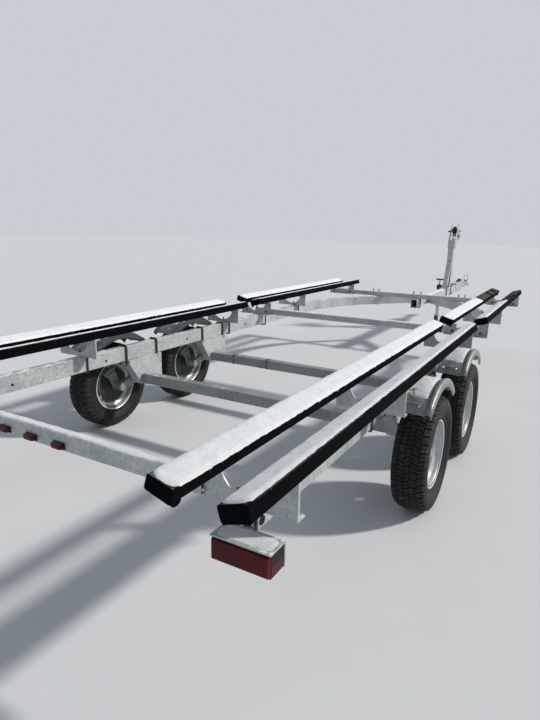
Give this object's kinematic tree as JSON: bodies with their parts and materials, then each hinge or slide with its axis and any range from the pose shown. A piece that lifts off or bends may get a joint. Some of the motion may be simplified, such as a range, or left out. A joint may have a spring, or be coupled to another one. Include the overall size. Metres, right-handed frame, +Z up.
{
  "type": "boat trailer",
  "caption": "Galvanised tandem-axle boat trailer with carpeted bunks for a twin-hull pontoon boat, winch post, swivel jack and surge coupler.",
  "frame": {"origin": "middle of the overall length, on the centre line, at ground level", "axes": "+Y towards the coupler, +X to the right side seen from behind, +Z up"},
  "size_m": [2.468, 8.93, 1.544],
  "materials": {
    "black_paint": "satin",
    "black_rubber": "matte",
    "bunk_carpet": "matte",
    "galvanised_steel": "satin",
    "hub_cast_iron": "matte",
    "red_lens": "gloss",
    "tyre_rubber": "matte",
    "wheel_steel": "satin",
    "zinc_plate": "satin"
  },
  "bodies": {
    "trailer_frame": {"axle_beam_front": "galvanised_steel", "axle_beam_rear": "galvanised_steel", "axle_hangers_left": "galvanised_steel", "axle_hangers_right": "galvanised_steel", "brake_reservoir": "black_paint", "bunks_front_left": "bunk_carpet", "bunks_front_right": "bunk_carpet", "bunks_rear_left": "bunk_carpet", "bunks_rear_right": "bunk_carpet", "crossmember_front": "galvanised_steel", "crossmember_mid": "galvanised_steel", "fenders_left": "galvanised_steel", "fenders_right": "galvanised_steel", "jack_bracket": "black_paint", "lamp_guard_left": "galvanised_steel", "lamp_guard_right": "galvanised_steel", "light_bar": "galvanised_steel", "main_rail_left": "galvanised_steel", "main_rail_right": "galvanised_steel", "marker_lamps": "red_lens", "roller_pin": "zinc_plate", "saddles_front_left": "galvanised_steel", "saddles_front_right": "galvanised_steel", "saddles_rear_left": "galvanised_steel", "saddles_rear_right": "galvanised_steel", "surge_actuator": "galvanised_steel", "tail_lamp_left": "red_lens", "tail_lamp_right": "red_lens", "tongue_tube": "galvanised_steel", "torsion_arms_left": "galvanised_steel", "torsion_arms_right": "galvanised_steel", "winch_frame": "zinc_plate", "winch_post": "galvanised_steel"},
    "wheel_rear_left": {"tyre_rear_left": "tyre_rubber", "rim_rear_left": "wheel_steel", "hub_rear_left": "hub_cast_iron"},
    "wheel_rear_right": {"tyre_rear_right": "tyre_rubber", "rim_rear_right": "wheel_steel", "hub_rear_right": "hub_cast_iron"},
    "wheel_front_left": {"tyre_front_left": "tyre_rubber", "rim_front_left": "wheel_steel", "hub_front_left": "hub_cast_iron"},
    "wheel_front_right": {"tyre_front_right": "tyre_rubber", "rim_front_right": "wheel_steel", "hub_front_right": "hub_cast_iron"},
    "winch_drum": {"winch_drum": "zinc_plate"},
    "winch_crank": {"winch_crank": "zinc_plate"},
    "bow_roller": {"bow_roller": "black_rubber"},
    "jack": {"jack_tube": "black_paint"},
    "jack_leg": {"jack_leg": "zinc_plate"},
    "jack_caster": {"jack_fork": "zinc_plate"},
    "jack_wheel": {"jack_wheel": "black_rubber"},
    "jack_crank": {"jack_crank": "black_paint"},
    "coupler": {"coupler": "zinc_plate"},
    "coupler_latch": {"coupler_latch": "zinc_plate"}
  },
  "joints": [
    {"name": "wheel_rear_left_turn", "type": "hinge", "parent": "trailer_frame", "child": "wheel_rear_left", "pos_m": [-1.146, -2.775, 0.305], "axis": [1, 0, 0], "continuous": true},
    {"name": "wheel_rear_right_turn", "type": "hinge", "parent": "trailer_frame", "child": "wheel_rear_right", "pos_m": [1.146, -2.775, 0.305], "axis": [1, 0, 0], "continuous": true},
    {"name": "wheel_front_left_turn", "type": "hinge", "parent": "trailer_frame", "child": "wheel_front_left", "pos_m": [-1.146, -1.937, 0.305], "axis": [1, 0, 0], "continuous": true},
    {"name": "wheel_front_right_turn", "type": "hinge", "parent": "trailer_frame", "child": "wheel_front_right", "pos_m": [1.146, -1.937, 0.305], "axis": [1, 0, 0], "continuous": true},
    {"name": "winch_drum_turn", "type": "hinge", "parent": "trailer_frame", "child": "winch_drum", "pos_m": [0, 3.18, 1.385], "axis": [1, 0, 0], "continuous": true},
    {"name": "winch_crank_turn", "type": "hinge", "parent": "trailer_frame", "child": "winch_crank", "pos_m": [0, 3.225, 1.435], "axis": [1, 0, 0], "continuous": true},
    {"name": "bow_roller_turn", "type": "hinge", "parent": "trailer_frame", "child": "bow_roller", "pos_m": [0, 3.075, 1.452], "axis": [1, 0, 0], "continuous": true},
    {"name": "jack_fold", "type": "hinge", "parent": "trailer_frame", "child": "jack", "pos_m": [-0.15, 3.075, 0.561], "axis": [1, 0, 0], "range_deg": [-90, 0]},
    {"name": "jack_leg_slide", "type": "slide", "parent": "jack", "child": "jack_leg", "axis": [0, 0, 1], "range_m": [-0.12, 0.1]},
    {"name": "jack_caster_swivel", "type": "hinge", "parent": "jack_leg", "child": "jack_caster", "pos_m": [-0.15, 3.075, 0.164], "axis": [0, 0, 1], "continuous": true},
    {"name": "jack_wheel_turn", "type": "hinge", "parent": "jack_caster", "child": "jack_wheel", "pos_m": [-0.15, 3.05, 0.076], "axis": [1, 0, 0], "continuous": true},
    {"name": "jack_crank_turn", "type": "hinge", "parent": "jack", "child": "jack_crank", "pos_m": [-0.15, 3.075, 0.643], "axis": [0, 0, 1], "continuous": true},
    {"name": "coupler_slide", "type": "slide", "parent": "trailer_frame", "child": "coupler", "axis": [0, 1, 0], "range_m": [-0.03, 0]},
    {"name": "coupler_latch_lift", "type": "hinge", "parent": "coupler", "child": "coupler_latch", "pos_m": [0, 4.365, 0.618], "axis": [1, 0, 0], "range_deg": [-60, 0]}
  ],
  "couplings": [
    {"joint": "winch_drum_turn", "follows": "winch_crank_turn", "ratio": -0.25}
  ]
}
